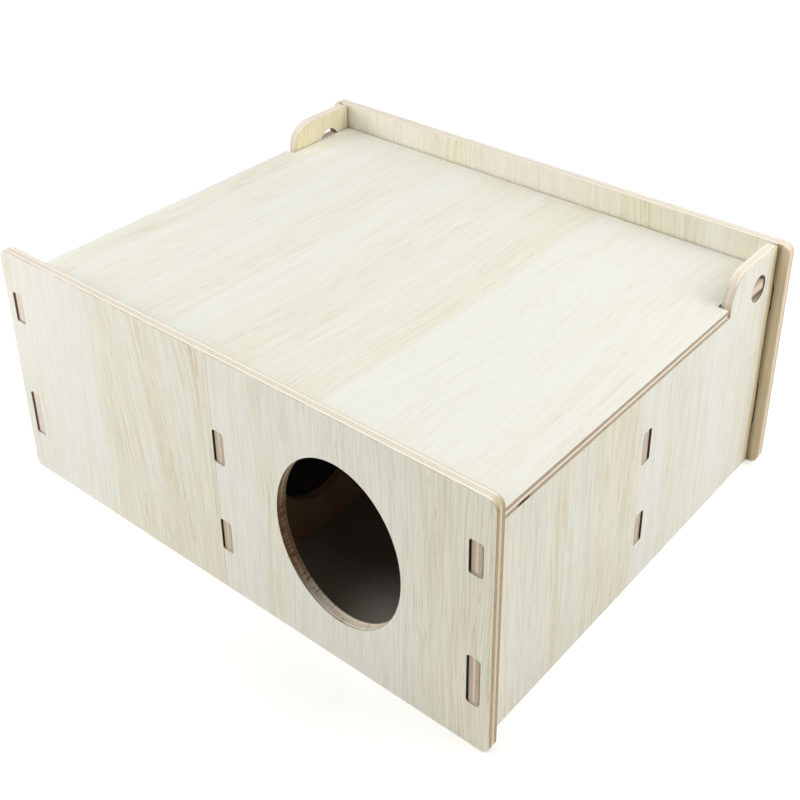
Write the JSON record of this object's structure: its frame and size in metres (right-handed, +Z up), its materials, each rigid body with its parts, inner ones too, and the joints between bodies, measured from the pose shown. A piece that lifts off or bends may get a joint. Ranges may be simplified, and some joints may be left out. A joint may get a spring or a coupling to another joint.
{
  "type": "hamster house",
  "caption": "Low wooden hamster hideout of slotted boards, with an oval doorway, inner dividers, no floor, and a lid that hinges between two rear ears.",
  "frame": {"origin": "on the ground below the centre of the house's footprint", "axes": "+X to the right along the front, +Y from the front to the back, +Z up"},
  "size_m": [0.25, 0.206, 0.11],
  "materials": {
    "plywood": "bare sanded three-ply with a pale straight-grained face"
  },
  "bodies": {
    "house": {"front_panel": "plywood", "back_panel": "plywood", "left_side": "plywood", "right_side": "plywood", "long_divider": "plywood", "cross_divider": "plywood"},
    "lid": {"lid": "plywood"}
  },
  "joints": [
    {"name": "lid_hinge", "type": "hinge", "parent": "house", "child": "lid", "pos_m": [0, 0.084, 0.09555], "axis": [-1, 0, 0], "range_deg": [0, 128]}
  ]
}
